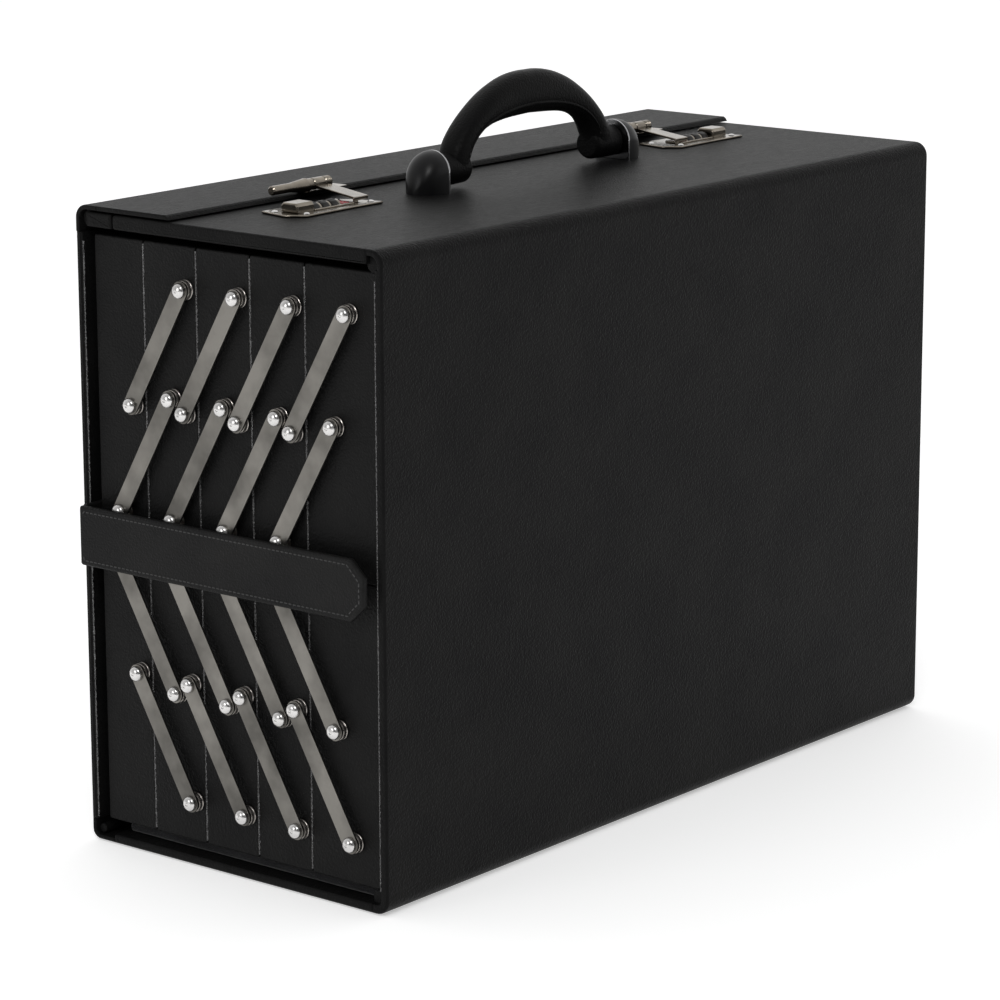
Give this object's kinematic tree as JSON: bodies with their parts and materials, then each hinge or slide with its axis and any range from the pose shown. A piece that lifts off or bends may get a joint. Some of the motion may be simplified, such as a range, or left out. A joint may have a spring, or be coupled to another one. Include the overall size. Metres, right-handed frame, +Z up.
{
  "type": "eyewear sample case",
  "caption": "Upright hard carrying case whose shallow spectacle trays sit in two stacks; the upper stack fans out on parallel arms as the back cover opens.",
  "frame": {"origin": "centre of the case's bottom face, which it stands on", "axes": "+X along the case, +Y from the front board to the back cover, +Z up to the handle"},
  "size_m": [0.519, 0.215, 0.4094],
  "materials": {
    "leatherette": "fine pebble grain, semi-matt",
    "leatherette_trim": "fine pebble grain, stitched edges",
    "velvet": "short pile",
    "arm_steel": "lengthwise brushed",
    "rivet_nickel": "bright",
    "lock_nickel": "champagne nickel plate",
    "handle_plastic": "gloss",
    "handle_plate": "bright",
    "dial_black": "satin",
    "marker_red": "gloss"
  },
  "bodies": {
    "case": {"front_board": "leatherette", "bottom_board": "leatherette", "bottom_pad": "velvet", "edge_rolls": "leatherette", "tray_upper_1": "leatherette", "insert_upper_1": "velvet", "rivets_upper_1": "rivet_nickel", "tray_lower_1": "leatherette", "tray_lower_2": "leatherette", "tray_lower_3": "leatherette", "tray_lower_4": "leatherette", "tray_lower_5": "leatherette", "inserts_lower": "velvet", "rivets_lower": "rivet_nickel", "arms_lower": "arm_steel"},
    "back_cover": {"back_board": "leatherette", "back_pad": "velvet", "cover_rail": "leatherette", "strap_roots": "leatherette_trim"},
    "lip": {"lip_board": "leatherette", "hasp_bases": "lock_nickel"},
    "top_flap": {"top_board": "leatherette", "handle_mounts": "handle_plate", "handle_ends": "handle_plastic", "lock_plate_left": "lock_nickel", "lock_plate_right": "lock_nickel", "lock_markers": "marker_red"},
    "handle": {"handle_grip": "leatherette_trim"},
    "left_strap": {"strap_left": "leatherette_trim"},
    "right_strap": {"strap_right": "leatherette_trim"},
    "left_hasp": {"hasp_left": "lock_nickel"},
    "right_hasp": {"hasp_right": "lock_nickel"},
    "left_slide": {"slide_left": "lock_nickel"},
    "right_slide": {"slide_right": "lock_nickel"},
    "outer_arms_1": {"arms_outer_1": "arm_steel"},
    "inner_arms_1": {"arms_inner_1": "arm_steel"},
    "upper_tray_2": {"tray_upper_2": "leatherette", "insert_upper_2": "velvet", "rivets_upper_2": "rivet_nickel"},
    "outer_arms_2": {"arms_outer_2": "arm_steel"},
    "inner_arms_2": {"arms_inner_2": "arm_steel"},
    "upper_tray_3": {"tray_upper_3": "leatherette", "insert_upper_3": "velvet", "rivets_upper_3": "rivet_nickel"},
    "outer_arms_3": {"arms_outer_3": "arm_steel"},
    "inner_arms_3": {"arms_inner_3": "arm_steel"},
    "upper_tray_4": {"tray_upper_4": "leatherette", "insert_upper_4": "velvet", "rivets_upper_4": "rivet_nickel"},
    "outer_arms_4": {"arms_outer_4": "arm_steel"},
    "inner_arms_4": {"arms_inner_4": "arm_steel"},
    "upper_tray_5": {"tray_upper_5": "leatherette", "insert_upper_5": "velvet", "rivets_upper_5": "rivet_nickel"},
    "left_dial_1": {"dial_left_1": "dial_black"},
    "left_dial_2": {"dial_left_2": "dial_black"},
    "left_dial_3": {"dial_left_3": "dial_black"},
    "right_dial_1": {"dial_right_1": "dial_black"},
    "right_dial_2": {"dial_right_2": "dial_black"},
    "right_dial_3": {"dial_right_3": "dial_black"}
  },
  "joints": [
    {"name": "back_cover_hinge", "type": "hinge", "parent": "case", "child": "back_cover", "pos_m": [0, 0.102, 0.0055], "axis": [-1, 0, 0], "range_deg": [0, 215]},
    {"name": "lip_hinge", "type": "hinge", "parent": "back_cover", "child": "lip", "pos_m": [0, 0.1, 0.3461], "axis": [-1, 0, 0], "range_deg": [0, 150]},
    {"name": "top_flap_hinge", "type": "hinge", "parent": "case", "child": "top_flap", "pos_m": [0, -0.1025, 0.345], "axis": [1, 0, 0], "range_deg": [0, 90]},
    {"name": "outer_arms_1_swing", "type": "hinge", "parent": "case", "child": "outer_arms_1", "pos_m": [0, -0.0835, 0.315], "axis": [1, 0, 0], "range_deg": [0, 120]},
    {"name": "inner_arms_1_swing", "type": "hinge", "parent": "case", "child": "inner_arms_1", "pos_m": [0, -0.0735, 0.2555], "axis": [1, 0, 0], "range_deg": [0, 120]},
    {"name": "upper_tray_2_level", "type": "hinge", "parent": "outer_arms_1", "child": "upper_tray_2", "pos_m": [0, -0.0455, 0.249], "axis": [1, 0, 0], "range_deg": [-120, 0]},
    {"name": "outer_arms_2_swing", "type": "hinge", "parent": "upper_tray_2", "child": "outer_arms_2", "pos_m": [0, -0.0455, 0.315], "axis": [1, 0, 0], "range_deg": [0, 120]},
    {"name": "inner_arms_2_swing", "type": "hinge", "parent": "upper_tray_2", "child": "inner_arms_2", "pos_m": [0, -0.0355, 0.2555], "axis": [1, 0, 0], "range_deg": [0, 120]},
    {"name": "upper_tray_3_level", "type": "hinge", "parent": "outer_arms_2", "child": "upper_tray_3", "pos_m": [0, -0.0075, 0.249], "axis": [1, 0, 0], "range_deg": [-120, 0]},
    {"name": "outer_arms_3_swing", "type": "hinge", "parent": "upper_tray_3", "child": "outer_arms_3", "pos_m": [0, -0.0075, 0.315], "axis": [1, 0, 0], "range_deg": [0, 120]},
    {"name": "inner_arms_3_swing", "type": "hinge", "parent": "upper_tray_3", "child": "inner_arms_3", "pos_m": [0, 0.0025, 0.2555], "axis": [1, 0, 0], "range_deg": [0, 120]},
    {"name": "upper_tray_4_level", "type": "hinge", "parent": "outer_arms_3", "child": "upper_tray_4", "pos_m": [0, 0.0305, 0.249], "axis": [1, 0, 0], "range_deg": [-120, 0]},
    {"name": "outer_arms_4_swing", "type": "hinge", "parent": "upper_tray_4", "child": "outer_arms_4", "pos_m": [0, 0.0305, 0.315], "axis": [1, 0, 0], "range_deg": [0, 120]},
    {"name": "inner_arms_4_swing", "type": "hinge", "parent": "upper_tray_4", "child": "inner_arms_4", "pos_m": [0, 0.0405, 0.2555], "axis": [1, 0, 0], "range_deg": [0, 120]},
    {"name": "upper_tray_5_level", "type": "hinge", "parent": "outer_arms_4", "child": "upper_tray_5", "pos_m": [0, 0.0685, 0.249], "axis": [1, 0, 0], "range_deg": [-120, 0]},
    {"name": "handle_tilt", "type": "hinge", "parent": "top_flap", "child": "handle", "pos_m": [0, 0, 0.361], "axis": [1, 0, 0], "range_deg": [-70, 70]},
    {"name": "left_strap_hinge", "type": "hinge", "parent": "back_cover", "child": "left_strap", "pos_m": [-0.2575, 0.0995, 0.1745], "axis": [0, 0, -1], "range_deg": [0, 170]},
    {"name": "right_strap_hinge", "type": "hinge", "parent": "back_cover", "child": "right_strap", "pos_m": [0.2575, 0.0995, 0.1745], "axis": [0, 0, 1], "range_deg": [0, 170]},
    {"name": "left_hasp_hinge", "type": "hinge", "parent": "lip", "child": "left_hasp", "pos_m": [-0.145, 0.0375, 0.3575], "axis": [-1, 0, 0], "range_deg": [0, 110]},
    {"name": "left_slide_travel", "type": "slide", "parent": "top_flap", "child": "left_slide", "axis": [-1, 0, 0], "range_m": [0, 0.005], "stiffness_N_per_m": 300, "springref_m": -0.002},
    {"name": "left_dial_1_spin", "type": "hinge", "parent": "top_flap", "child": "left_dial_1", "pos_m": [-0.175, 0.0055, 0.3504], "axis": [1, 0, 0], "continuous": true},
    {"name": "left_dial_2_spin", "type": "hinge", "parent": "top_flap", "child": "left_dial_2", "pos_m": [-0.1676, 0.0055, 0.3504], "axis": [1, 0, 0], "continuous": true},
    {"name": "left_dial_3_spin", "type": "hinge", "parent": "top_flap", "child": "left_dial_3", "pos_m": [-0.1602, 0.0055, 0.3504], "axis": [1, 0, 0], "continuous": true},
    {"name": "right_hasp_hinge", "type": "hinge", "parent": "lip", "child": "right_hasp", "pos_m": [0.145, 0.0375, 0.3575], "axis": [-1, 0, 0], "range_deg": [0, 110]},
    {"name": "right_slide_travel", "type": "slide", "parent": "top_flap", "child": "right_slide", "axis": [1, 0, 0], "range_m": [0, 0.005], "stiffness_N_per_m": 300, "springref_m": -0.002},
    {"name": "right_dial_1_spin", "type": "hinge", "parent": "top_flap", "child": "right_dial_1", "pos_m": [0.175, 0.0055, 0.3504], "axis": [1, 0, 0], "continuous": true},
    {"name": "right_dial_2_spin", "type": "hinge", "parent": "top_flap", "child": "right_dial_2", "pos_m": [0.1676, 0.0055, 0.3504], "axis": [1, 0, 0], "continuous": true},
    {"name": "right_dial_3_spin", "type": "hinge", "parent": "top_flap", "child": "right_dial_3", "pos_m": [0.1602, 0.0055, 0.3504], "axis": [1, 0, 0], "continuous": true}
  ],
  "couplings": [
    {"joint": "lip_hinge", "follows": "back_cover_hinge", "ratio": 0.6976},
    {"joint": "top_flap_hinge", "follows": "back_cover_hinge", "ratio": 0.4186},
    {"joint": "outer_arms_1_swing", "follows": "back_cover_hinge", "ratio": 0.5581},
    {"joint": "inner_arms_1_swing", "follows": "back_cover_hinge", "ratio": 0.5581},
    {"joint": "upper_tray_2_level", "follows": "back_cover_hinge", "ratio": -0.5581},
    {"joint": "outer_arms_2_swing", "follows": "back_cover_hinge", "ratio": 0.5581},
    {"joint": "inner_arms_2_swing", "follows": "back_cover_hinge", "ratio": 0.5581},
    {"joint": "upper_tray_3_level", "follows": "back_cover_hinge", "ratio": -0.5581},
    {"joint": "outer_arms_3_swing", "follows": "back_cover_hinge", "ratio": 0.5581},
    {"joint": "inner_arms_3_swing", "follows": "back_cover_hinge", "ratio": 0.5581},
    {"joint": "upper_tray_4_level", "follows": "back_cover_hinge", "ratio": -0.5581},
    {"joint": "outer_arms_4_swing", "follows": "back_cover_hinge", "ratio": 0.5581},
    {"joint": "inner_arms_4_swing", "follows": "back_cover_hinge", "ratio": 0.5581},
    {"joint": "upper_tray_5_level", "follows": "back_cover_hinge", "ratio": -0.5581}
  ]
}
